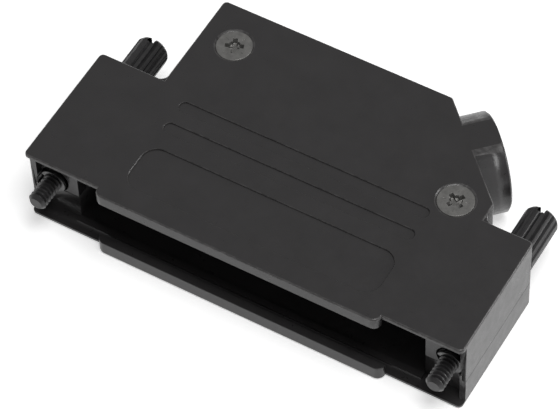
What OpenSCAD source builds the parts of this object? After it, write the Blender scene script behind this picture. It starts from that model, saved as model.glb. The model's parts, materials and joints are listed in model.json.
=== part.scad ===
// Two-part die-cast hood for a 37-way D-sub connector, with a 45 degree cable entry.
//
// Frame: X runs along the connector, Y points back from the mating face towards the cable,
// Z is up. The origin lies on the bottom face, in the middle of the front edge.
// The deeper upper shell carries the two captive thumbscrews. The shallow lower shell closes
// it, and two countersunk screws hold the pair together around the cable clamp.

/* [Connector] */
// Distance between the two jackscrew axes
screw_pitch = 63.5; // [60:0.1:67]
// Distance from a jackscrew axis to the end of the connector flange
flange_end = 2.91; // [2.7:0.01:3.4]
// Height of the connector flange
flange_h = 12.55; // [11.5:0.01:13.5]
// Thickness of the connector flange
flange_t = 1.1; // [0.8:0.05:1.5]
// Distance from a jackscrew axis to the open middle that takes the connector body
ear_reach = 3.9; // [3.6:0.05:4.1]

/* [Hood outline] */
// Thickness of the top and the bottom plate
plate_t = 0.635; // [0.55:0.005:0.9]
// Height of the lower shell, up to the parting line
lower_h = 5.2; // [4.5:0.1:5.3]
// How far the side walls stand out past the ends of the flange
side_over = 0.065; // [0:0.005:0.5]
// Thickness of the side walls behind the flange
side_t = 0.95; // [0.9:0.05:1.4]
// Depth of the wide front block
block_d = 20.7; // [19:0.1:25]
// Distance from the left jackscrew axis to the left wall of the cable housing
left_step = 7.6; // [5:0.05:8.5]
// Distance from the right jackscrew axis to the right wall of the cable housing
right_step = 4.8; // [3.8:0.05:5.5]
// Depth of the cable housing behind the front block
body_d = 16.85; // [15.5:0.05:21]
// Width and depth that the 45 degree face takes off the corner
bevel = 13.8; // [13:0.1:15]
// Thickness of the rear walls and of the housing's walls
wall_t = 1.3; // [1.1:0.05:1.5]
// Radius of the upright corners
corner_r = 0.75; // [0.6:0.05:1.2]
// Radius along the outer edges
edge_r = 0.35; // [0.2:0.05:0.5]
// Radius where the block meets the cable housing
nook_r = 1.35; // [0.6:0.05:2]

/* [Front edge] */
// How far the middle lips reach in front of the front edge
lip_reach = 1.25; // [0.8:0.05:1.8]
// Distance from a jackscrew axis to the end of the upper shell's lip
upper_lip_end = 9.25; // [6:0.05:11]
// Height of the lip on the upper shell
upper_lip_h = 2.05; // [1.5:0.05:2.2]
// Distance from a jackscrew axis to the end of the lower shell's lip
lower_lip_end = 8.75; // [6:0.05:11]
// Height of the lip on the lower shell
lower_lip_h = 2.55; // [1.8:0.05:2.7]
// Corner radius of both lips
lip_r = 1.2; // [0.8:0.05:1.25]
// Depth of the ribs that back the flange
rib_d = 1; // [0.6:0.05:1.2]
// Height of these ribs above the floor
rib_h = 0.6; // [0.4:0.05:1.2]

/* [Top face] */
// Length of both grooves and of the panel
trim_w = 39.8; // [34:0.1:42]
// Width of each groove
groove_w = 1.85; // [1:0.05:2.4]
// Distance from the back of the block to the middle of the rear groove
groove_setback = 2.8; // [2.5:0.1:3.5]
// Distance between the middles of the two grooves
groove_pitch = 4.2; // [3.9:0.1:4.6]
// Distance from the front edge to the middle of the panel
panel_y = 6.1; // [5.3:0.1:6.5]
// Depth of the panel from front to back
panel_d = 7.7; // [6:0.1:8.5]
// Corner radius of the panel
panel_r = 2.4; // [1:0.1:3]
// Depth of the grooves and the panel below the top face
trim_depth = 0.25; // [0.2:0.05:0.35]
// Width of the broken edge round the grooves and the panel
trim_rim = 0.12; // [0.05:0.01:0.15]

/* [Cable entry] */
// Outer diameter of the entry tube
tube_od = 14.7; // [13:0.1:15]
// Diameter of its bore
tube_bore = 11.8; // [10:0.1:12]
// How far the tube stands out of the 45 degree face
tube_len = 4.4; // [3:0.1:8]
// Distance from the rear corner to the tube's axis, along the 45 degree face
tube_at = 7.5; // [7.4:0.1:8.8]

/* [Thumbscrews] */
// Outer diameter of the 4-40 thread
thread_d = 2.845; // [2.5:0.005:3]
// How far the thread stands out of the front edge
tip_reach = 2.5; // [2:0.05:4]
// Diameter of the knurled head
head_d = 5.15; // [4.6:0.01:5.6]
// Length of the knurled head
head_l = 9; // [7:0.1:11]
// Number of flutes round the head
flutes = 16; // [12:1:20]
// Depth of each flute
flute_depth = 0.28; // [0.15:0.01:0.4]
// Chamfer at the end of the head
head_chamfer = 0.9; // [0.4:0.1:1.2]
// Width of the screwdriver slot
slot_w = 1.1; // [0.8:0.05:1.4]
// Depth of the screwdriver slot
slot_depth = 1.3; // [0.8:0.1:1.8]
// Free axial travel of a thumbscrew
float_travel = 1.2; // [0.6:0.1:2]
// Length of its front bearing in the ear block
ear_grip = 3; // [2:0.1:4]
// Length of its rear bearing
rear_boss_d = 2.8; // [2:0.1:4]
// Thickness of the wall between the screw and the wires
channel_t = 1; // [0.8:0.1:1.2]

/* [Retaining rings] */
// Outer diameter of a retaining ring
ring_od = 4.1; // [3.9:0.05:4.4]
// Thickness of a retaining ring
ring_t = 0.5; // [0.4:0.05:0.7]
// Diameter of the groove that the ring snaps into
ring_groove_d = 2.1; // [1.9:0.05:2.3]
// Room that a ring has behind the flange
ring_room = 0.6; // [0.4:0.05:1]
// Width of the opening in the ring
ring_mouth = 1.8; // [1.4:0.05:2]

/* [Cover screws] */
// How far the left cover screw stands in from the housing's left and rear wall
left_cover_in = [5.5, 6.65];
// How far the right one stands in from the right wall and behind the block
right_cover_in = [4.9, 1.15];
// Thread diameter of the cover screws
cover_d = 3; // [2.5:0.1:3]
// Head diameter of the cover screws
cover_head_d = 5.4; // [5:0.1:5.6]
// Length of the cover screws, head included
cover_l = 12; // [10:0.5:12.5]
// Diameter of the bosses that they pass through
boss_d = 6.4; // [6.2:0.1:6.6]
// How far the heads lie below the top face
head_sink = 0.1; // [0:0.05:0.2]

/* [Cable clamp] */
// Largest cable that the clamp takes
cable_d = 7; // [5:0.1:7.2]
// Width of the clamp along the cable
clamp_w = 4.5; // [3.5:0.1:5]
// Length of the clamp across the cable
clamp_span = 12.6; // [12.4:0.1:12.8]
// Thickness of the strap over the cable
strap_t = 0.9; // [0.6:0.05:1]
// Thread diameter of the clamp screws
clamp_screw_d = 2; // [1.6:0.1:2]
// Length of the clamp screws under the head
clamp_screw_l = 9; // [8:0.5:10]
// Gap left between strap and saddle for tightening
clamp_gap = 0.8; // [0.4:0.1:1.2]

/* [Fits] */
// Gap round the flange in its slot
flange_gap = 0.09; // [0.05:0.01:0.2]
// Radial gap round a turning screw
screw_gap = 0.1; // [0.05:0.01:0.15]
// Gap between parts of the two shells that pass each other
shell_gap = 0.12; // [0.08:0.01:0.2]
// Radial gap round a screw in its threaded hole
thread_gap = 0.03; // [0.01:0.01:0.05]
// Radial gap between a ring and its groove
ring_gap = 0.05; // [0.03:0.01:0.08]
// Gap at the end of a thumbscrew's travel and under its head
stop_gap = 0.15; // [0.1:0.05:0.3]
// Radial gap round a screw that passes through a plain hole
clear_gap = 0.12; // [0.1:0.01:0.2]
// Gap under a countersunk head
seat_gap = 0.03; // [0.01:0.01:0.05]
// Thickness of the tongue that the lower shell puts inside the upper one
tongue_t = 0.35; // [0.3:0.05:0.4]
// Height of the tongue above the parting line
tongue_h = 1.1; // [0.6:0.1:1.2]

/* [Hidden] */

$fn = 64;
eps = 0.01;               // overshoot of cutting bodies
over = 20;                // reach of cuts that run right out of the part
parting_r = 0.1;          // broken edge along the parting line
hull_fn = 32;
mouth_chamfer = 0.35;     // at the end of the entry tube, outside and inside

screw_x = screw_pitch / 2;
hood_h = flange_h + 2 * (flange_gap + plate_t);
hood_w = 2 * (screw_x + flange_end + side_over);
inner_x = hood_w / 2 - side_t;
axis_z = hood_h / 2;
seat_y = flange_t + 2 * flange_gap;      // ribs and side walls begin here, behind the flange
rib_top = plate_t + rib_h;

// outlines, counter-clockwise from the front left corner
block = [[-hood_w / 2, 0], [hood_w / 2, 0], [hood_w / 2, block_d], [-hood_w / 2, block_d]];
body_left = screw_x - left_step;
body_right = screw_x - right_step;
body_back = block_d + body_d;
turn_x = body_right - bevel;
face_end_y = body_back - bevel;
body_start = block_d / 2;
body = [[-body_left, body_start], [body_right, body_start], [body_right, face_end_y],
        [turn_x, body_back], [-body_left, body_back]];

// the 45 degree face and the tube on it
face_dir = [1, -1] / sqrt(2);
tube_origin = [turn_x, body_back] + tube_at * face_dir;

// ear blocks that hold the thumbscrews
ear_inner = screw_x - ear_reach;
ring_front = seat_y + ring_room;
ear_front = ring_front + ring_t + stop_gap;
ear_pocket_r = ring_od / 2 + 2 * clear_gap;
ear_pocket_end = ring_front + ring_t + float_travel + stop_gap;
ear_end = ear_pocket_end + ear_grip;
above_tongue = lower_h + tongue_h + shell_gap;
screw_hole_r = thread_d / 2 + screw_gap;
tongue_clear = screw_hole_r + shell_gap;
tip_chamfer = 0.16 * thread_d;           // at the end of the thread
head_y = block_d + 2 * stop_gap;         // where the knurled head begins

// cover screws
cover_screw_at = [[left_cover_in.x - body_left, body_back - left_cover_in.y],
                  [body_right - right_cover_in.x, block_d + right_cover_in.y]];
cone_h = (cover_head_d - cover_d) / 2;
head_rim = 0.15;                         // straight rim above the cone
cover_tap_z = hood_h - head_sink - cover_l - 0.7;

// clamp, in the tube's own frame: U out along the cable, V along the 45 degree face
clamp_near = wall_t + 0.6;               // depth of its outer side behind the face
clamp_mid = clamp_near + clamp_w / 2;
clamp_far = clamp_near + clamp_w;
clamp_screw_v = clamp_span / 2 - 1.35;
clamp_head_r = 0.8 * clamp_screw_d;
saddle_top = axis_z - clamp_gap / 2;
strap_foot = axis_z + clamp_gap / 2;
strap_top = axis_z + cable_d / 2 + strap_t;
clamp_tap_z = plate_t + 0.8;             // bottom of the threaded holes
clamp_sink = 0.4;                        // depth of the seats for the screw heads

// ---------------------------------------------------------------- helpers

function unit(v) = v / norm(v);
function left_of(v) = [-v.y, v.x];

// corners of a convex counter-clockwise outline, each side moved in by d
function inset(points, d) = [
    for (i = [0:len(points) - 1])
        let (n = len(points),
             before = left_of(unit(points[i] - points[(i + n - 1) % n])),
             after = left_of(unit(points[(i + 1) % n] - points[i])))
        points[i] + d * (before + after) / (1 + before * after)];

// one upright corner post with rounded upper and lower rims
module post(z0, z1, r, low_r, high_r) {
    steps = 4;
    low = [for (i = [0:steps]) let (a = -90 + 90 * i / steps)
           [r - low_r + low_r * cos(a), z0 + low_r + low_r * sin(a)]];
    high = [for (i = [0:steps]) let (a = 90 * i / steps)
            [r - high_r + high_r * cos(a), z1 - high_r + high_r * sin(a)]];
    rotate_extrude($fn = hull_fn) polygon(concat([[0, z0]], low, high, [[0, z1]]));
}

// solid plate over a convex outline, with rounded corners and rims
module slab(points, z0, z1, r, low_r, high_r) {
    hull()
        for (p = inset(points, r))
            translate(p) post(z0, z1, r, low_r, high_r);
}

// flat-bottomed cut with round corners, h deep and widening by rim at its top, which is z = 0
module pocket(w, d, r, h, rim) {
    side = [[0, -h], [1, -h], [1, -rim], [1 + rim, eps], [0, eps]];
    for (a = [0, 180])
        rotate(a) {
            translate([-w / 2 + r, 0, 0])
                rotate([90, 0, 90])
                    linear_extrude(w - 2 * r)
                        polygon([for (p = side) [p.x < 1 ? 0 : d / 2 + p.x - 1, p.y]]);
            if (d > 2 * r)
                translate([0, d / 2 - r, 0])
                    rotate([90, 0, 0])
                        linear_extrude(d - 2 * r)
                            polygon([for (p = side) [p.x < 1 ? 0 : w / 2 + p.x - 1, p.y]]);
        }
    for (x = [-w / 2 + r, w / 2 - r], y = d > 2 * r ? [-d / 2 + r, d / 2 - r] : [0])
        translate([x, y, 0])
            rotate_extrude() polygon([for (p = side) [p.x < 1 ? 0 : r + p.x - 1, p.y]]);
}

// body of revolution along +Y, from profile points [radius, distance]
module along_y(profile) {
    rotate([-90, 0, 0]) rotate_extrude() polygon(profile);
}

// box given by its two corners
module span(a, b) {
    translate(a) cube(b - a);
}

// places its children in the clamp's frame
module at_tube() {
    translate(tube_origin) rotate([0, 0, 45]) children();
}

// filled corner between the block and the housing; side is -1 left, 1 right
module nook(side, z0, z1) {
    x = side < 0 ? -body_left : body_right;
    translate([x, block_d, z0])
        difference() {
            translate([side < 0 ? -nook_r : -eps, -eps, 0]) cube([nook_r + eps, nook_r + eps, z1 - z0]);
            translate([side * nook_r, nook_r, -eps]) cylinder(h = z1 - z0 + 2 * eps, r = nook_r);
        }
}

// outer body of one shell, still solid inside
module shell_mass(z0, z1, low_r, high_r, lip_x, lip_z0, lip_z1) {
    slab(block, z0, z1, corner_r, low_r, high_r);
    slab(body, z0, z1, corner_r, low_r, high_r);
    slab([[-lip_x, -lip_reach], [lip_x, -lip_reach], [lip_x, block_d / 4], [-lip_x, block_d / 4]],
         lip_z0, lip_z1, lip_r, low_r, high_r);
    for (side = [-1, 1])
        nook(side, z0 + low_r, z1 - high_r);
    intersection() {
        at_tube() translate([0, 0, axis_z]) tube_mass();
        span([-over, 0, z0], [3 * over, 3 * over, z1]);
    }
}

// the entry tube with its broken end edge, axis along U
module tube_mass() {
    r = tube_od / 2;
    rotate([90, 0, 90])
        rotate_extrude()
            polygon([[0, -wall_t], [r, -wall_t], [r, tube_len - mouth_chamfer],
                     [r - mouth_chamfer, tube_len], [0, tube_len]]);
}

// bore of the entry tube, with a lead-in chamfer at the mouth
module tube_hole() {
    r = tube_bore / 2;
    at_tube() translate([0, 0, axis_z]) rotate([90, 0, 90])
        rotate_extrude()
            polygon([[0, -3 * wall_t], [r, -3 * wall_t], [r, tube_len - mouth_chamfer],
                     [r + mouth_chamfer + eps, tube_len + eps], [0, tube_len + eps]]);
}

// inside of both shells between two heights: the flange slot, open at both ends, and the
// room behind it
module hollow(z0, z1) {
    span([-inner_x, -eps, z0], [inner_x, block_d - wall_t, z1]);
    span([-hood_w, -eps, z0], [hood_w, seat_y, z1]);
    translate([0, 0, z0])
        linear_extrude(z1 - z0) polygon(inset(body, wall_t));
}

// the outline on which the tongue's outer face lies, less a gap
module tongue_outline(gap) {
    x = inner_x + tongue_t + gap;
    y = block_d - wall_t + tongue_t + gap;
    polygon([[-x, -over], [x, -over], [x, y], [-x, y]]);
    polygon(inset(body, wall_t - tongue_t - gap));
}

// cuts along both thumbscrew axes
module at_screws() {
    for (side = [-1, 1])
        translate([side * screw_x, 0, axis_z]) children();
}

// ---------------------------------------------------------------- shells

module upper_shell() {
    color([0.2, 0.19, 0.19])
    difference() {
        union() {
            difference() {
                shell_mass(lower_h, hood_h, parting_r, edge_r,
                           screw_x - upper_lip_end, hood_h - upper_lip_h, hood_h);
                hollow(lower_h - eps, hood_h - plate_t);
                // rebate for the lower shell's tongue
                translate([0, 0, lower_h - eps])
                    linear_extrude(tongue_h + shell_gap + eps) tongue_outline(shell_gap);
            }
            ears(lower_h, above_tongue + eps, shell_gap);
            ears(above_tongue, hood_h - plate_t + eps, 0);
            // rib behind the flange
            span([-ear_inner - eps, seat_y, hood_h - rib_top],
                 [ear_inner + eps, seat_y + rib_d, hood_h - plate_t + eps]);
            for (p = cover_screw_at)
                translate([p.x, p.y, lower_h]) cylinder(h = hood_h - plate_t - lower_h + eps, d = boss_d);
        }
        tube_hole();
        for (p = cover_screw_at)
            translate([p.x, p.y, 0]) countersink();
        at_screws() {
            screw_way();
            ring_way();
        }
        top_trim();
    }
}

// blocks between two heights at the right end that guide a thumbscrew, and the wall between
// the screw and the wires; outer and back are where they meet the shell's own walls
module ear(z0, z1, outer, back) {
    span([ear_inner, ear_front, z0], [outer, ear_end, z1]);
    span([ear_inner, block_d - wall_t - rear_boss_d, z0], [outer, back, z1]);
    span([ear_inner, ear_end - eps, z0], [ear_inner + channel_t, back, z1]);
}

// the same at both ends
module ears(z0, z1, gap) {
    for (side = [0, 1])
        mirror([side, 0, 0])
            ear(z0, z1, inner_x + (gap > 0 ? -gap : eps), block_d - wall_t + (gap > 0 ? -gap : eps));
}

// way for one thumbscrew, which is laid in from below
module screw_way() {
    rotate([-90, 0, 0]) cylinder(h = block_d + over, r = screw_hole_r);
    span([-screw_hole_r, 0, -axis_z], [screw_hole_r, block_d + over, 0]);
}

// room for the ring to float in
module ring_way() {
    translate([0, ear_pocket_end, 0]) rotate([90, 0, 0]) cylinder(h = over, r = ear_pocket_r);
}

// hole and countersink for one cover screw, parallel to the screw's own cone
module countersink() {
    hole_r = cover_d / 2 + clear_gap;
    mouth_r = cover_head_d / 2 + head_rim + head_sink + seat_gap;
    depth = mouth_r - hole_r;
    cylinder(h = hood_h, r = hole_r);
    translate([0, 0, hood_h - depth])
        cylinder(h = depth + eps, r1 = hole_r, r2 = mouth_r + eps);
}

// shallow grooves and panel on the top face
module top_trim() {
    translate([0, panel_y, hood_h]) pocket(trim_w, panel_d, panel_r, trim_depth, trim_rim);
    for (y = [block_d - groove_setback, block_d - groove_setback - groove_pitch])
        translate([0, y, hood_h]) pocket(trim_w, groove_w, groove_w / 2, trim_depth, trim_rim);
}

module lower_shell() {
    color([0.19, 0.18, 0.18])
    difference() {
        union() {
            difference() {
                union() {
                    shell_mass(0, lower_h, edge_r, parting_r,
                               screw_x - lower_lip_end, 0, lower_lip_h);
                    tongue();
                }
                hollow(plate_t, hood_h);
            }
            // rib behind the flange
            span([-ear_inner - eps, seat_y, plate_t / 2], [ear_inner + eps, seat_y + rib_d, rib_top]);
            ears(plate_t / 2, lower_h - shell_gap, 0);
            for (p = cover_screw_at)
                translate([p.x, p.y, plate_t / 2]) cylinder(h = lower_h - plate_t / 2, d = boss_d);
            saddle_ribs();
        }
        tube_hole();
        for (p = cover_screw_at)
            translate([p.x, p.y, cover_tap_z]) cylinder(h = hood_h, r = cover_d / 2 + thread_gap);
        at_screws() {
            ring_way();
            // the tongue stays clear of the screws
            span([-tongue_clear, 0, lower_h - axis_z], [tongue_clear, block_d + over, hood_h]);
        }
    }
}

// upstand that closes the joint between the shells from inside
module tongue() {
    intersection() {
        translate([0, 0, lower_h - parting_r - eps])
            linear_extrude(tongue_h + parting_r + eps) tongue_outline(0);
        span([-hood_w, seat_y, 0], [hood_w, 3 * over, hood_h]);
    }
}

// low ribs on the floor that hold the saddle in place along the cable
module saddle_ribs() {
    v = clamp_span / 4;
    top = plate_t + 1.2;
    at_tube() {
        span([-clamp_near + shell_gap, -v, plate_t / 2], [-wall_t + eps, v, top]);
        span([-clamp_far - shell_gap - 0.8, -v, plate_t / 2], [-clamp_far - shell_gap, v, top]);
    }
}

// ---------------------------------------------------------------- fasteners

// countersunk screw with an eight-pointed cross recess
module cover_screw(at) {
    r = cover_d / 2;
    end_chamfer = 0.3;
    translate([at.x, at.y, hood_h - head_sink])
        difference() {
            rotate_extrude()
                polygon([[0, -cover_l], [r - end_chamfer, -cover_l], [r, end_chamfer - cover_l],
                         [r, -cone_h - head_rim], [cover_head_d / 2, -head_rim],
                         [cover_head_d / 2, 0], [0, 0]]);
            for (a = [0, 90])
                rotate(a) recess(0.56 * cover_head_d, 0.13 * cover_head_d, 1.1);
            for (a = [45, 135])
                rotate(a) recess(0.36 * cover_head_d, 0.1 * cover_head_d, 0.8);
        }
}

// one bar of the cross recess
module recess(length, width, depth) {
    span([-length / 2, -width / 2, -depth], [length / 2, width / 2, eps]);
}

module left_cover_screw() {
    color([0.42, 0.42, 0.42]) cover_screw(cover_screw_at[0]);
}

module right_cover_screw() {
    color([0.42, 0.42, 0.42]) cover_screw(cover_screw_at[1]);
}

// captive jackscrew: threaded shank, ring groove and knurled, slotted head
module thumbscrew(x) {
    r = thread_d / 2;
    groove_r = ring_groove_d / 2;
    g0 = ring_front - ring_gap;
    g1 = ring_front + ring_t + ring_gap;
    head_end = head_y + head_l;
    translate([x, 0, axis_z])
        difference() {
            union() {
                along_y([[0, -tip_reach], [r - tip_chamfer, -tip_reach], [r, tip_chamfer - tip_reach],
                         [r, g0], [groove_r, g0], [groove_r, g1], [r, g1],
                         [r, head_y + eps], [0, head_y + eps]]);
                translate([0, head_y, 0]) knurled_head();
            }
            span([-slot_w / 2, head_end - slot_depth, -head_d], [slot_w / 2, head_end + eps, head_d]);
        }
}

// fluted grip with a chamfer at both ends
module knurled_head() {
    r = head_d / 2;
    flute_r = 0.3;
    root_chamfer = 0.3;
    intersection() {
        rotate([-90, 0, 0])
            linear_extrude(head_l)
                difference() {
                    circle(r);
                    for (i = [0:flutes - 1])
                        rotate(360 * i / flutes)
                            translate([r + flute_r - flute_depth, 0]) circle(flute_r, $fn = 24);
                }
        along_y([[0, 0], [r - root_chamfer, 0], [r + eps, root_chamfer + eps],
                 [r + eps, head_l - head_chamfer - eps], [r - head_chamfer, head_l], [0, head_l]]);
    }
}

module left_thumbscrew() {
    color([0.13, 0.13, 0.13]) thumbscrew(-screw_x);
}

module right_thumbscrew() {
    color([0.13, 0.13, 0.13]) thumbscrew(screw_x);
}

// open ring that snaps into the thumbscrew's groove; its mouth points down
module retaining_ring(x) {
    inner_r = ring_groove_d / 2 + ring_gap;
    translate([x, ring_front, axis_z])
        rotate([-90, 0, 0])
            difference() {
                cylinder(h = ring_t, r = ring_od / 2);
                translate([0, 0, -eps]) cylinder(h = ring_t + 2 * eps, r = inner_r);
                span([-ring_mouth / 2, 0, -eps], [ring_mouth / 2, ring_od, ring_t + eps]);
            }
}

module left_retaining_ring() {
    color([0.3, 0.3, 0.31]) retaining_ring(-screw_x);
}

module right_retaining_ring() {
    color([0.3, 0.3, 0.31]) retaining_ring(screw_x);
}

// ---------------------------------------------------------------- cable clamp

// lower half of the clamp, a block with a round trough and two threaded holes
module clamp_saddle() {
    color([0.55, 0.55, 0.56])
    at_tube()
        difference() {
            span([-clamp_far, -clamp_span / 2, plate_t], [-clamp_near, clamp_span / 2, saddle_top]);
            cable_trough();
            for (v = [-clamp_screw_v, clamp_screw_v])
                translate([-clamp_mid, v, clamp_tap_z])
                    cylinder(h = hood_h, r = clamp_screw_d / 2 + thread_gap);
        }
}

// the cable's own room in both halves of the clamp, with two shallow grip grooves
module cable_trough() {
    groove = 0.9;
    bite = 0.2;
    for (u = [[-clamp_far - eps, -clamp_near + eps, 0], [-clamp_mid - groove, -clamp_mid - groove / 3, bite],
              [-clamp_mid + groove / 3, -clamp_mid + groove, bite]])
        translate([u[0], 0, axis_z])
            rotate([0, 90, 0]) cylinder(h = u[1] - u[0], r = cable_d / 2 + u[2]);
}

// upper half of the clamp, a bridge over the cable with rounded shoulders
module clamp_strap() {
    shoulder_r = 1.2;
    color([0.55, 0.55, 0.56])
    at_tube()
        difference() {
            translate([-clamp_far, 0, 0])
                rotate([90, 0, 90])
                    linear_extrude(clamp_w) {
                        w = clamp_span / 2;
                        translate([-w, strap_foot]) square([2 * w, strap_top - shoulder_r - strap_foot]);
                        translate([-w + shoulder_r, strap_foot])
                            square([2 * (w - shoulder_r), strap_top - strap_foot]);
                        for (v = [-w + shoulder_r, w - shoulder_r])
                            translate([v, strap_top - shoulder_r]) circle(shoulder_r, $fn = 32);
                    }
            cable_trough();
            for (v = [-clamp_screw_v, clamp_screw_v])
                translate([-clamp_mid, v, 0]) {
                    cylinder(h = hood_h, r = clamp_screw_d / 2 + clear_gap);
                    // seat for the head, cut into the shoulder
                    translate([0, 0, strap_top - clamp_sink])
                        cylinder(h = hood_h, r = clamp_head_r + clear_gap);
                }
        }
}

// cheese head screw with a slot
module clamp_screw(v) {
    r = clamp_screw_d / 2;
    head_h = 1.2;
    edge = 0.2;
    slot = 0.5;
    at_tube()
        translate([-clamp_mid, v, strap_top - clamp_sink])
            difference() {
                rotate_extrude()
                    polygon([[0, -clamp_screw_l], [r - edge, -clamp_screw_l], [r, edge - clamp_screw_l],
                             [r, 0], [clamp_head_r, 0], [clamp_head_r, head_h - edge],
                             [clamp_head_r - edge, head_h], [0, head_h]]);
                span([-slot / 2, -clamp_head_r - eps, head_h - slot],
                     [slot / 2, clamp_head_r + eps, head_h + eps]);
            }
}

module clamp_screw_rear() {
    color([0.6, 0.6, 0.6]) clamp_screw(clamp_screw_v);
}

module clamp_screw_front() {
    color([0.6, 0.6, 0.6]) clamp_screw(-clamp_screw_v);
}

upper_shell();
lower_shell();
left_cover_screw();
right_cover_screw();
left_thumbscrew();
right_thumbscrew();
left_retaining_ring();
right_retaining_ring();
clamp_saddle();
clamp_strap();
clamp_screw_rear();
clamp_screw_front();
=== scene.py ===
"""Looks of a die-cast D-sub hood: coated shells, knurled thumbscrews, screws, clamp and stage."""

import json
import math

import bmesh
import bpy
from mathutils import Matrix, Vector


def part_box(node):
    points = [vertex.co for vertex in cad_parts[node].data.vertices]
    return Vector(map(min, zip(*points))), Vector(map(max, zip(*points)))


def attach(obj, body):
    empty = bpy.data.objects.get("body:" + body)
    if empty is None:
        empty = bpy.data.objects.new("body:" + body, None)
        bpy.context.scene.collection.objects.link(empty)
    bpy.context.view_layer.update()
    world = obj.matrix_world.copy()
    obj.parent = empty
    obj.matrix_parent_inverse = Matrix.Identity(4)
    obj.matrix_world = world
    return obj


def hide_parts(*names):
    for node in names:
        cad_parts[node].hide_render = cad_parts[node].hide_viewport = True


bl_info = {
    "name": "D-sub hood looks",
    "version": (1, 0, 0),
    "blender": (4, 5, 0),
    "location": "View3D > Sidebar > Hood",
    "description": "Builds the visible pieces and materials of a die-cast connector hood",
    "category": "Object",
}

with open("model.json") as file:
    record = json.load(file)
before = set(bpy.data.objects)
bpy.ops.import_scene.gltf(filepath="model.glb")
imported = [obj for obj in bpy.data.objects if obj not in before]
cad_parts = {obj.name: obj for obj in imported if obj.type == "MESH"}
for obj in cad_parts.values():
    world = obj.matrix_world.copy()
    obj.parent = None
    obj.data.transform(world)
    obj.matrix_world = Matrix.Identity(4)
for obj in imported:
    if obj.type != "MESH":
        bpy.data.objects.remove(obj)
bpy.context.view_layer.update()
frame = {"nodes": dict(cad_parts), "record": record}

MM = 0.001
MERGE = 0.001 * MM            # points closer than this are one
CAD_MERGE = 1e-7              # the same for the solids' own triangles
RING_GAP = 0.05 * MM          # between a ring and its groove
SIDES = ("left", "right")


# ---------------------------------------------------------------- places taken from the frame

def joint_axis(side):
    """X and Z of the thumbscrew's axis on that side."""
    joint = next(j for j in frame["record"]["behaviour"]["joints"] if j["name"] == f"{side}_screw_turn")
    x, _, z = joint["pos_m"]
    return x, z


def node_span(node):
    """Lowest and highest corner of a CAD node."""
    low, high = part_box(node)
    return Vector(low), Vector(high)


def node_centre(node):
    """Middle of a CAD node's box."""
    low, high = node_span(node)
    return (low + high) / 2


# ---------------------------------------------------------------- settings

def length(name, description, millimetres):
    """A length property, given here in millimetres."""
    return bpy.props.FloatProperty(
        name=name, description=description, default=millimetres * MM, min=0,
        subtype="DISTANCE", unit="LENGTH", precision=5)


def angle(name, description, degrees):
    """An angle property, given here in degrees."""
    return bpy.props.FloatProperty(
        name=name, description=description, default=math.radians(degrees), subtype="ANGLE")


def share(name, description, value):
    """A number from 0 to 1."""
    return bpy.props.FloatProperty(name=name, description=description, default=value, min=0, max=1)


def colour(name, description, value):
    """A colour property."""
    return bpy.props.FloatVectorProperty(
        name=name, description=description, default=value, size=3, min=0, max=1, subtype="COLOR")


class HoodShellSettings(bpy.types.PropertyGroup):
    """Finish of the two shells."""
    coat: colour("Coating", "Colour of the black coating", (0.030, 0.0285, 0.0292))
    # The lighter edge colour is partly scuffed coating and partly a painted highlight on the rounded edges.
    worn_and_highlit: colour("Rubbed edge", "Colour where the coating is rubbed thin", (0.085, 0.082, 0.082))
    roughness: share("Roughness", "Roughness of the coating", 0.30)
    grain: length("Grain", "Size of the fine casting grain", 0.2)
    edge: length("Edge", "Height of the rounded edges that are rubbed", 0.36)


class HoodScrewSettings(bpy.types.PropertyGroup):
    """Sizes and finish of the thumbscrews and their rings."""
    pitch: length("Thread pitch", "Pitch of the 4-40 thread", 0.635)
    thread_depth: length("Thread depth", "Depth of the thread's groove", 0.36)
    thread_radius: length("Thread radius", "Outer radius of the thread", 1.4225)
    head_length: length("Head length", "Length of the knurled head", 9.0)
    chamfer: length("Head chamfer", "Chamfer at the end of the head", 0.9)
    flutes: bpy.props.IntProperty(
        name="Flutes", description="Number of ribs round a knurled head", default=16, min=8, max=32)
    flute_depth: length("Flute depth", "Depth of the grooves between the ribs", 0.28)
    slot_width: length("Slot width", "Width of the thumbscrew's slot", 1.1)
    slot_depth: length("Slot depth", "Depth of the thumbscrew's slot", 1.3)
    groove_radius: length("Ring groove", "Radius of the groove that holds the ring", 1.05)
    ring_mouth: angle("Ring mouth", "Opening of a retaining ring", 78)
    black: colour("Black finish", "Colour of the blackened steel", (0.040, 0.039, 0.040))


class HoodCoverSettings(bpy.types.PropertyGroup):
    """Sizes and finish of the two cover screws."""
    shank: length("Shank radius", "Radius under the head", 1.5)
    rim: length("Rim", "Straight rim above the cone", 0.15)
    recess: length("Recess", "Reach of the cross recess from the middle", 1.38)
    left_turn: angle("Left turn", "How far the left screw's cross is turned", 22)
    right_turn: angle("Right turn", "How far the right screw's cross is turned", 60)
    grey: colour("Grey finish", "Colour of the grey plated steel", (0.20, 0.197, 0.19))


class HoodStageSettings(bpy.types.PropertyGroup):
    """Camera and light."""
    azimuth: angle("Azimuth", "Camera's angle round the hood", 32.39)
    elevation: angle("Elevation", "Camera's height angle", 53.54)
    roll: angle("Roll", "Camera's turn about its own axis", -2.93)
    distance: length("Distance", "Camera's distance from the hood", 436.6)
    across: length("Across", "Camera's place to the right of the hood's origin", 5.776)
    along: length("Along", "Camera's place above the hood's origin", 6.272)
    lens: bpy.props.FloatProperty(
        name="Lens", description="Focal length in millimetres", default=206.5, min=10)
    surround: share("Surroundings", "Brightness of the studio round the hood", 0.25)


# ---------------------------------------------------------------- helpers for modelling

def clear_selection():
    """Object mode, nothing selected."""
    if bpy.context.object and bpy.context.object.mode != "OBJECT":
        bpy.ops.object.mode_set(mode="OBJECT")
    bpy.ops.object.select_all(action="DESELECT")


def select_only(piece):
    """The one selected and active object."""
    clear_selection()
    piece.hide_set(False)
    piece.select_set(True)
    bpy.context.view_layer.objects.active = piece


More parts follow.
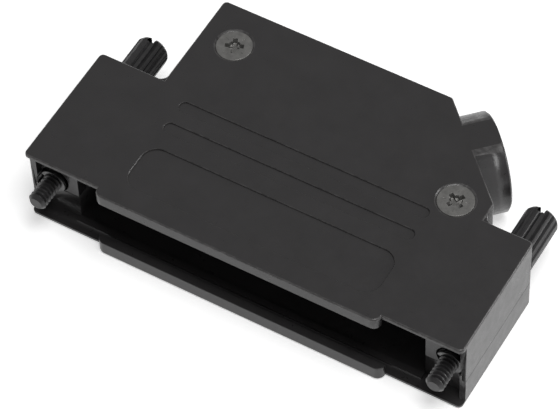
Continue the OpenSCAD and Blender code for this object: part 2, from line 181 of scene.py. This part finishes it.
def start_piece(name, add, scale=(1, 1, 1), **where):
    """A new primitive, open in edit mode and selected all over."""
    clear_selection()
    add(**where)
    piece = bpy.context.object
    piece.name, piece.scale = name, scale
    settle(piece)
    bpy.ops.object.mode_set(mode="EDIT")
    bpy.ops.mesh.select_all(action="SELECT")
    return piece


def pick(piece, test, kind="VERT"):
    """In edit mode, selects the vertices, edges or faces that pass the test."""
    bpy.ops.mesh.select_mode(type=kind)
    bpy.ops.mesh.select_all(action="DESELECT")
    mesh = bmesh.from_edit_mesh(piece.data)
    for part in {"VERT": mesh.verts, "EDGE": mesh.edges, "FACE": mesh.faces}[kind]:
        if test(part):
            part.select_set(True)
    mesh.select_flush_mode()
    bmesh.update_edit_mesh(piece.data)


def extrude(move, factor=(1, 1, 1), centre=(0, 0, 0)):
    """Extrudes what is selected by a move, then resizes it about a centre."""
    bpy.ops.mesh.extrude_region_move(TRANSFORM_OT_translate={"value": move, "orient_type": "GLOBAL"})
    bpy.ops.transform.resize(value=factor, center_override=centre)


def close_up(piece):
    """Doubles merged and faces turned outwards, back in object mode."""
    bpy.ops.mesh.select_all(action="SELECT")
    bpy.ops.mesh.remove_doubles(threshold=MERGE)
    bpy.ops.mesh.normals_make_consistent(inside=False)
    bpy.ops.object.mode_set(mode="OBJECT")
    return piece


def apply_modifiers(piece):
    """Every modifier of the piece applied in order."""
    select_only(piece)
    for modifier in list(piece.modifiers):
        bpy.ops.object.modifier_apply(modifier=modifier.name)


def combine(piece, tool, operation):
    """Joins, cuts or trims the piece with a tool, which is used up."""
    modifier = piece.modifiers.new(operation.lower(), "BOOLEAN")
    modifier.operation, modifier.object, modifier.solver = operation, tool, "EXACT"
    apply_modifiers(piece)
    bpy.data.objects.remove(tool)
    bpy.ops.object.mode_set(mode="EDIT")
    close_up(piece)


def settle(piece):
    """The piece's place goes into its mesh, and its object returns to the origin."""
    select_only(piece)
    bpy.ops.object.transform_apply(location=True, rotation=True, scale=True)


def soften(piece, degrees, width=None):
    """A fine bevel on sharp edges where asked, then shading that keeps the flats flat."""
    if width:
        modifier = piece.modifiers.new("bevel", "BEVEL")
        modifier.width, modifier.segments, modifier.limit_method = width, 2, "ANGLE"
        modifier.angle_limit = math.radians(degrees)
        apply_modifiers(piece)
    select_only(piece)
    bpy.ops.object.shade_smooth_by_angle(angle=math.radians(degrees))
    modifier = piece.modifiers.new("flats", "WEIGHTED_NORMAL")
    modifier.keep_sharp = True
    apply_modifiers(piece)


def copy_piece(piece, name):
    """A copy with its own mesh."""
    twin = piece.copy()
    twin.data = piece.data.copy()
    twin.name = name
    bpy.context.scene.collection.objects.link(twin)
    return twin


def merged_copy(node, name):
    """A copy of a CAD node with its loose triangles joined."""
    piece = bpy.data.objects.new(name, frame["nodes"][node].data.copy())
    bpy.context.scene.collection.objects.link(piece)
    select_only(piece)
    bpy.ops.object.mode_set(mode="EDIT")
    bpy.ops.mesh.select_all(action="SELECT")
    bpy.ops.mesh.remove_doubles(threshold=CAD_MERGE)
    bpy.ops.mesh.dissolve_limited(angle_limit=math.radians(0.5))
    bpy.ops.object.mode_set(mode="OBJECT")
    return piece


def finish_piece(piece, material, body, node):
    """Material, body, replaced node and slot of one piece."""
    piece.data.materials.clear()
    piece.data.materials.append(material)
    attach(piece, body)
    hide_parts(node)


# ---------------------------------------------------------------- shapes that turn about Z

def turned(name, profile, vertices=64):
    """A turned piece: a disc extruded and resized from one radius and height to the next."""
    (radius, height), *steps = profile
    piece = start_piece(name, bpy.ops.mesh.primitive_circle_add, vertices=vertices, radius=radius,
                        fill_type="NGON", location=(0, 0, height))
    for next_radius, next_height in steps:
        factor = next_radius / radius
        extrude((0, 0, next_height - height), (factor, factor, 1), (0, 0, next_height))
        radius, height = next_radius, next_height
    return close_up(piece)


def thread_rings(s, low, high):
    """Profile of a threaded tip: rings cut at the thread's pitch, without its helix."""
    crest, root = s.thread_radius, s.thread_radius - s.thread_depth
    chamfer = s.thread_depth + 0.1 * MM
    first = low + chamfer + s.pitch / 16
    profile = [(crest - chamfer, low), (crest, low + chamfer)]
    for turn in range(int((high - first) / s.pitch)):
        start = first + turn * s.pitch
        profile += [(crest, start), (root, start + s.pitch * 5 / 16), (root, start + s.pitch * 9 / 16),
                    (crest, start + s.pitch * 14 / 16)]
    return profile + [(crest, high)]


def box(name, low, high):
    """Plain cutting block between two corners."""
    low, high = Vector(low), Vector(high)
    piece = start_piece(name, bpy.ops.mesh.primitive_cube_add, high - low, size=1,
                        location=(low + high) / 2)
    return close_up(piece)


def knurled_head(s, radius, low, high):
    """Fluted grip with a rounded chamfer at its end and a slot across it."""
    per_rib = 8
    count = s.flutes * per_rib
    head = start_piece("head", bpy.ops.mesh.primitive_circle_add, vertices=count, radius=radius,
                       fill_type="NGON", location=(0, 0, low))
    for share_of_depth, places in ((1.0, (0,)), (0.6, (1, per_rib - 1))):
        factor = 1 - share_of_depth * s.flute_depth / radius
        pick(head, lambda v: round(math.atan2(v.co.y, v.co.x) / (2 * math.pi) * count) % per_rib in places)
        bpy.ops.transform.resize(value=(factor, factor, 1), center_override=(0, 0, low))
    bpy.ops.mesh.select_mode(type="FACE")
    bpy.ops.mesh.select_all(action="SELECT")
    extrude((0, 0, high - low))
    close_up(head)
    proud = radius + 0.01 * MM
    root = 0.3 * MM
    combine(head, turned("blank", [
        (proud - root, low), (proud, low + root), (proud, high - s.chamfer - 0.05 * MM),
        (proud - 0.32 * s.chamfer, high - 0.5 * s.chamfer),
        (radius - s.chamfer, high)]), "INTERSECT")
    half = s.slot_width / 2
    combine(head, box("slot", (-half, -2 * radius, high - s.slot_depth), (half, 2 * radius, high + MM)),
            "DIFFERENCE")
    return head


# ---------------------------------------------------------------- helpers for materials

class Nodes:
    """Short way to build one material's node tree."""

    def __init__(self, name):
        self.material = bpy.data.materials.new(name)
        self.material.use_nodes = True
        self.tree = self.material.node_tree
        self.shader = self.tree.nodes["Principled BSDF"]
        self.place = self.tree.nodes.new("ShaderNodeTexCoord").outputs["Object"]

    def add(self, kind, inputs=None, **settings):
        node = self.tree.nodes.new(kind)
        for key, value in settings.items():
            setattr(node, key, value)
        for key, value in (inputs or {}).items():
            self.put(node.inputs[key], value)
        return node

    def put(self, socket, value):
        if isinstance(value, bpy.types.NodeSocket):
            self.tree.links.new(value, socket)
        else:
            socket.default_value = value

    def noise(self, size, detail=3.0, roughness=0.55, place=None):
        """Noise whose features are about this many metres across."""
        return self.add("ShaderNodeTexNoise", {
            "Vector": place or self.place, "Scale": 1 / size, "Detail": detail, "Roughness": roughness,
        }).outputs["Fac"]

    def ramp(self, value, stops):
        node = self.add("ShaderNodeValToRGB", {"Fac": value})
        first, last = node.color_ramp.elements
        (first.position, first.color), (last.position, last.color) = stops[0], stops[-1]
        for position, shade in stops[1:-1]:
            node.color_ramp.elements.new(position).color = shade
        return node.outputs["Color"]

    def spread(self, value, low, high, start=0.0, end=1.0):
        """The value's range from start to end mapped to low and high."""
        return self.add("ShaderNodeMapRange", {
            "Value": value, "From Min": start, "From Max": end, "To Min": low, "To Max": high,
        }).outputs["Result"]

    def mix(self, factor, first, second):
        """One colour passing into another."""
        node = self.add("ShaderNodeMix", data_type="RGBA")
        self.put(node.inputs["Factor"], factor)
        colours = [socket for socket in node.inputs if socket.type == "RGBA"]
        self.put(colours[0], first)
        self.put(colours[1], second)
        return next(socket for socket in node.outputs if socket.type == "RGBA")

    def bump(self, height, distance, strength=1.0, under=None):
        inputs = {"Height": height, "Distance": distance, "Strength": strength}
        if under is not None:
            inputs["Normal"] = under
        return self.add("ShaderNodeBump", inputs).outputs["Normal"]

    def set(self, **inputs):
        for key, value in inputs.items():
            self.put(self.shader.inputs[key.replace("_", " ")], value)


def rgb(value, factor=1.0):
    """Four-part colour from a three-part one."""
    return (*(min(1.0, part * factor) for part in value), 1.0)


def coated_casting(name, s):
    """Black coating over zinc: fine orange peel, faint mottling, and outer edges painted lighter, partly as
    scuffed coating and partly as a painted highlight.
    """
    n = Nodes(name)
    coat = n.ramp(n.noise(4.5 * MM, detail=4), [(0.3, rgb(s.coat, 0.92)), (0.7, rgb(s.coat, 1.08))])
    # Edge faces get a lighter colour: partly scuffed coating, partly a painted highlight of the rounded
    # edges.
    rubbed_and_highlit = n.add("ShaderNodeAttribute", attribute_name="rubbed_and_highlit").outputs["Fac"]
    patchy_rub_and_highlight = n.add("ShaderNodeMath", {0: rubbed_and_highlit, 1: n.spread(n.noise(0.8 * MM), 0.25, 1.0, 0.35, 0.65)},
                   operation="MULTIPLY").outputs["Value"]
    n.set(
        Base_Color=n.mix(patchy_rub_and_highlight, coat, rgb(s.worn_and_highlit)),
        Roughness=n.spread(n.noise(1.3 * MM), s.roughness - 0.03, s.roughness + 0.04, 0.3, 0.7),
        IOR=1.5)
    peel = n.bump(n.noise(s.grain, detail=2, roughness=0.5), 0.016 * MM, 0.8)
    n.set(Normal=n.bump(n.noise(2.2 * MM, detail=2), 0.03 * MM, 0.5, under=peel))
    return n.material


def steel(name, base, roughness, metallic=1.0, marks=0.09):
    """Turned or pressed metal with fine tool marks and uneven plating."""
    n = Nodes(name)
    grit = n.noise(marks * MM, detail=2)
    n.set(
        Base_Color=n.ramp(n.noise(0.7 * MM), [(0.3, rgb(base, 0.82)), (0.7, rgb(base, 1.18))]),
        Metallic=metallic,
        Roughness=n.spread(grit, roughness - 0.06, roughness + 0.08, 0.3, 0.7),
        Normal=n.bump(grit, 0.006 * MM, 0.6))
    return n.material


def turned_face(name, base, roughness, centre):
    """Grey plated steel with fine rings turned about the screw's own axis."""
    n = Nodes(name)
    local = n.add("ShaderNodeMapping", {"Vector": n.place, "Location": tuple(-part for part in centre)})
    rings = n.add("ShaderNodeTexWave", {
        "Vector": local.outputs["Vector"], "Scale": 1 / (0.9 * MM), "Distortion": 1.5, "Detail": 2.0,
        "Detail Scale": 1.0}, wave_type="RINGS", rings_direction="Z").outputs["Fac"]
    grit = n.noise(0.12 * MM, detail=3)
    n.set(
        Base_Color=n.ramp(n.noise(0.9 * MM, detail=4), [(0.3, rgb(base, 0.8)), (0.7, rgb(base, 1.15))]),
        Metallic=0.55,
        Roughness=n.spread(grit, roughness - 0.07, roughness + 0.09, 0.3, 0.7),
        Normal=n.bump(rings, 0.004 * MM, 0.5, under=n.bump(grit, 0.008 * MM, 0.6)))
    return n.material


# ---------------------------------------------------------------- operators

class HOOD_OT_shells(bpy.types.Operator):
    """Make the upper and the lower shell"""
    bl_idname = "hood.shells"
    bl_label = "Shells"

    def execute(self, context):
        s = context.scene.hood_shell
        coating = coated_casting("black_coating", s)
        for node in ("upper_shell", "lower_shell"):
            piece = merged_copy(node, f"{node}_casting")
            soften(piece, 32)
            self.rub_and_highlight_edges(piece, s.edge)
            finish_piece(piece, coating, "hood", node)
        return {"FINISHED"}

    def rub_and_highlight_edges(self, piece, edge):
        """Marks the slanting faces of outer edges, which are painted lighter, partly for scuffed coating
        and partly as a painted highlight.
        """
        top, bottom = node_span("upper_shell")[1].z, node_span("lower_shell")[0].z
        mark = piece.data.attributes.new("rubbed_and_highlit", "FLOAT", "FACE")
        for face, value in zip(piece.data.polygons, mark.data):
            slant = 0.1 < abs(face.normal.z) < 0.98
            near = face.center.z > top - edge or face.center.z < bottom + edge
            value.value = 1.0 if slant and near else 0.0


class HOOD_OT_thumbscrews(bpy.types.Operator):
    """Make both captive thumbscrews"""
    bl_idname = "hood.thumbscrews"
    bl_label = "Thumbscrews"

    def execute(self, context):
        s = context.scene.hood_screw
        low, high = node_span("left_thumbscrew")
        ring_low, ring_high = node_span("left_retaining_ring")
        tip, end, radius = low.y, high.y, (high.x - low.x) / 2
        neck = end - s.head_length
        groove = (ring_low.y - RING_GAP, ring_high.y + RING_GAP)
        master = turned("thumbscrew", thread_rings(s, tip, groove[0]) + [
            (s.groove_radius, groove[0]), (s.groove_radius, groove[1]),
            (s.thread_radius - 0.15 * MM, groove[1]), (s.thread_radius, groove[1] + 0.15 * MM),
            (s.thread_radius, neck + 0.5 * MM)])
        combine(master, knurled_head(s, radius, neck, end), "UNION")
        soften(master, 35)
        for side in SIDES:
            piece = copy_piece(master, f"{side}_thumbscrew_turned")
            x, z = joint_axis(side)
            piece.rotation_euler.x = -math.pi / 2
            piece.location = (x, 0, z)
            settle(piece)
            finish_piece(piece, steel(f"black_oxide_{side}", s.black, 0.36, 0.35), f"{side}_screw",
                         f"{side}_thumbscrew")
        bpy.data.objects.remove(master)
        return {"FINISHED"}


class HOOD_OT_rings(bpy.types.Operator):
    """Make the two open retaining rings"""
    bl_idname = "hood.rings"
    bl_label = "Retaining rings"

    def execute(self, context):
        s = context.scene.hood_screw
        low, high = node_span("left_retaining_ring")
        outer = (high.x - low.x) / 2
        inner = s.groove_radius + RING_GAP
        start = s.ring_mouth / 2
        ring = start_piece("ring", bpy.ops.mesh.primitive_plane_add, (outer - inner, high.y - low.y, 1),
                           size=1, rotation=(math.pi / 2, 0, 0),
                           location=((inner + outer) / 2, 0, (low.y + high.y) / 2))
        bpy.ops.transform.rotate(value=-start, orient_axis="Z", center_override=(0, 0, 0))
        bpy.ops.mesh.spin(steps=56, angle=2 * math.pi - s.ring_mouth, center=(0, 0, 0), axis=(0, 0, 1))
        bpy.ops.mesh.select_mode(type="EDGE")
        bpy.ops.mesh.select_all(action="DESELECT")
        bpy.ops.mesh.select_non_manifold()
        bpy.ops.mesh.fill_holes(sides=0)
        close_up(ring)
        soften(ring, 35, 0.05 * MM)
        for side in SIDES:
            piece = copy_piece(ring, f"{side}_ring_open")
            x, z = joint_axis(side)
            piece.rotation_euler = (-math.pi / 2, math.pi / 2, 0)
            piece.location = (x, 0, z)
            settle(piece)
            finish_piece(piece, steel(f"blackened_spring_{side}", (0.12, 0.12, 0.12), 0.35), f"{side}_ring",
                         f"{side}_retaining_ring")
        bpy.data.objects.remove(ring)
        return {"FINISHED"}


class HOOD_OT_cover_screws(bpy.types.Operator):
    """Make the two countersunk cover screws"""
    bl_idname = "hood.cover_screws"
    bl_label = "Cover screws"

    def execute(self, context):
        s = context.scene.hood_cover
        low, high = node_span("left_cover_screw")
        head = (high.x - low.x) / 2
        long = high.z - low.z
        cone = head - s.shank
        edge = 0.08 * MM
        master = turned("cover_screw", [
            (s.shank - 0.3 * MM, -long), (s.shank, 0.3 * MM - long), (s.shank, -cone - s.rim),
            (head, -s.rim), (head, -edge), (head - edge, 0)])
        arm = (s.recess, 0.35 * MM, 1.1 * MM)               # reach, half width and depth
        rib = (0.68 * s.recess, 0.26 * MM, 0.8 * MM)
        for degrees, (reach, half, depth) in ((0, arm), (90, arm), (45, rib), (135, rib)):
            bar = box("bar", (-reach, -half, -depth), (reach, half, 0.1 * MM))
            self.turn(bar, math.radians(degrees))
            combine(master, bar, "DIFFERENCE")
        self.ticks(master, s.recess)
        soften(master, 35, 0.02 * MM)
        for side in SIDES:
            piece = copy_piece(master, f"{side}_cover_screw_pressed")
            low, high = node_span(f"{side}_cover_screw")
            centre = ((low.x + high.x) / 2, (low.y + high.y) / 2, high.z)
            self.turn(piece, s.left_turn if side == "left" else s.right_turn)
            piece.location = centre
            settle(piece)
            finish_piece(piece, turned_face(f"grey_plating_{side}", s.grey, 0.38, centre), "hood",
                         f"{side}_cover_screw")
        bpy.data.objects.remove(master)
        return {"FINISHED"}

    def turn(self, piece, by):
        """Turns a piece about Z, in its mesh."""
        piece.rotation_euler.z = by
        settle(piece)

    def ticks(self, master, reach):
        """Four fine lines between the arms of the cross."""
        for quarter in range(4):
            tick = box("tick", (reach, -0.05 * MM, -0.05 * MM), (1.42 * reach, 0.05 * MM, 0.1 * MM))
            self.turn(tick, math.pi / 4 + quarter * math.pi / 2)
            combine(master, tick, "DIFFERENCE")


class HOOD_OT_clamp(bpy.types.Operator):
    """Give the cable clamp and its screws their finish"""
    bl_idname = "hood.clamp"
    bl_label = "Cable clamp"

    def execute(self, context):
        finishes = {
            "clamp_zinc": steel("bare_zinc", (0.5, 0.5, 0.5), 0.45, marks=0.3),
            "clamp_screw_steel": steel("bright_steel", (0.55, 0.55, 0.54), 0.3),
        }
        for part in frame["record"]["subparts"]:
            if part["material_slot"] in finishes:
                mesh = frame["nodes"][part["node"]].data
                mesh.materials.clear()
                mesh.materials.append(finishes[part["material_slot"]])
        return {"FINISHED"}


class HOOD_OT_stage(bpy.types.Operator):
    """Make the floor, the lamps and the camera"""
    bl_idname = "hood.stage"
    bl_label = "Stage"

    def execute(self, context):
        s = context.scene.hood_stage
        self.floor()
        self.world(context.scene, s)
        self.lamp("overhead", (0.16, -0.04, 0.68), 0.30, 2.6)
        self.lamp("right_rear", (0.55, 0.35, 0.22), 0.22, 1.2)
        self.lamp("left_rear", (-0.45, 0.55, 0.65), 0.5, 0.1)
        self.camera(context.scene, s)
        return {"FINISHED"}

    def floor(self):
        """Pale floor that shows white and still takes the hood's shadow."""
        floor = start_piece("floor", bpy.ops.mesh.primitive_plane_add, size=6, location=(0, 0, -0.02 * MM))
        bpy.ops.mesh.subdivide(number_cuts=3)
        close_up(floor)
        n = Nodes("pale_floor")
        n.set(Base_Color=(0.9, 0.9, 0.9, 1), Roughness=0.9, Specular_IOR_Level=0.0)
        path = n.add("ShaderNodeLightPath")
        seen = n.add("ShaderNodeMath", {0: path.outputs["Is Camera Ray"],
                                        1: path.outputs["Is Glossy Ray"]}, operation="MAXIMUM")
        n.set(Emission_Color=(1, 1, 1, 1),
              Emission_Strength=n.add("ShaderNodeMath", {0: seen.outputs[0], 1: 0.45},
                                      operation="MULTIPLY").outputs[0])
        floor.data.materials.append(n.material)

    def world(self, scene, s):
        """Soft grey surroundings, white where the camera sees them."""
        world = scene.world or bpy.data.worlds.new("studio")
        scene.world = world
        world.use_nodes = True
        tree = world.node_tree
        back = tree.nodes["Background"]
        path = tree.nodes.new("ShaderNodeLightPath")
        mix = tree.nodes.new("ShaderNodeMapRange")
        mix.inputs["To Min"].default_value = s.surround
        mix.inputs["To Max"].default_value = 1.0
        tree.links.new(path.outputs["Is Camera Ray"], mix.inputs["Value"])
        tree.links.new(mix.outputs["Result"], back.inputs["Strength"])
        back.inputs["Color"].default_value = (1, 1, 1, 1)

    def lamp(self, name, place, size, power):
        """Square soft lamp aimed at the hood."""
        data = bpy.data.lights.new(name, "AREA")
        data.shape, data.size, data.energy = "SQUARE", size, power
        lamp = bpy.data.objects.new(name, data)
        bpy.context.scene.collection.objects.link(lamp)
        lamp.location = place
        aim = node_centre("upper_shell") - Vector(place)
        lamp.rotation_euler = aim.to_track_quat("-Z", "Y").to_euler()

    def camera(self, scene, s):
        """Long lens looking down on the hood from the front right."""
        back = Vector((math.sin(s.azimuth) * math.cos(s.elevation),
                       -math.cos(s.azimuth) * math.cos(s.elevation), math.sin(s.elevation)))
        level = Vector((math.cos(s.azimuth), math.sin(s.azimuth), 0))
        upright = back.cross(level)
        right = math.cos(s.roll) * level + math.sin(s.roll) * upright
        up = math.cos(s.roll) * upright - math.sin(s.roll) * level
        top = node_span("upper_shell")[1].z
        place = Vector((0, 0, top)) + s.across * right + s.along * up + s.distance * back
        data = bpy.data.cameras.new("camera")
        data.lens, data.sensor_width = s.lens, 36
        data.clip_start, data.clip_end = 0.01, 20
        camera = bpy.data.objects.new("camera", data)
        scene.collection.objects.link(camera)
        camera.matrix_world = Matrix.Translation(place) @ Matrix((right, up, back)).transposed().to_4x4()
        scene.camera = camera
        scene.view_settings.view_transform = "Standard"


class HOOD_PT_panel(bpy.types.Panel):
    """Buttons for every group of pieces"""
    bl_idname = "HOOD_PT_panel"
    bl_label = "Connector hood"
    bl_space_type = "VIEW_3D"
    bl_region_type = "UI"
    bl_category = "Hood"

    def draw(self, context):
        for operator in OPERATORS:
            self.layout.operator(operator.bl_idname)


SETTINGS = {
    "hood_shell": HoodShellSettings,
    "hood_screw": HoodScrewSettings,
    "hood_cover": HoodCoverSettings,
    "hood_stage": HoodStageSettings,
}
OPERATORS = (HOOD_OT_shells, HOOD_OT_thumbscrews, HOOD_OT_rings, HOOD_OT_cover_screws, HOOD_OT_clamp,
             HOOD_OT_stage)


def register():
    for group in SETTINGS.values():
        bpy.utils.register_class(group)
    for name, group in SETTINGS.items():
        setattr(bpy.types.Scene, name, bpy.props.PointerProperty(type=group))
    for part in (*OPERATORS, HOOD_PT_panel):
        bpy.utils.register_class(part)


def unregister():
    for part in (HOOD_PT_panel, *reversed(OPERATORS)):
        bpy.utils.unregister_class(part)
    for name in SETTINGS:
        delattr(bpy.types.Scene, name)
    for group in reversed(list(SETTINGS.values())):
        bpy.utils.unregister_class(group)


def main():
    register()
    bpy.ops.hood.shells()
    bpy.ops.hood.thumbscrews()
    bpy.ops.hood.rings()
    bpy.ops.hood.cover_screws()
    bpy.ops.hood.clamp()
    bpy.ops.hood.stage()


if __name__ == "__main__":
    main()
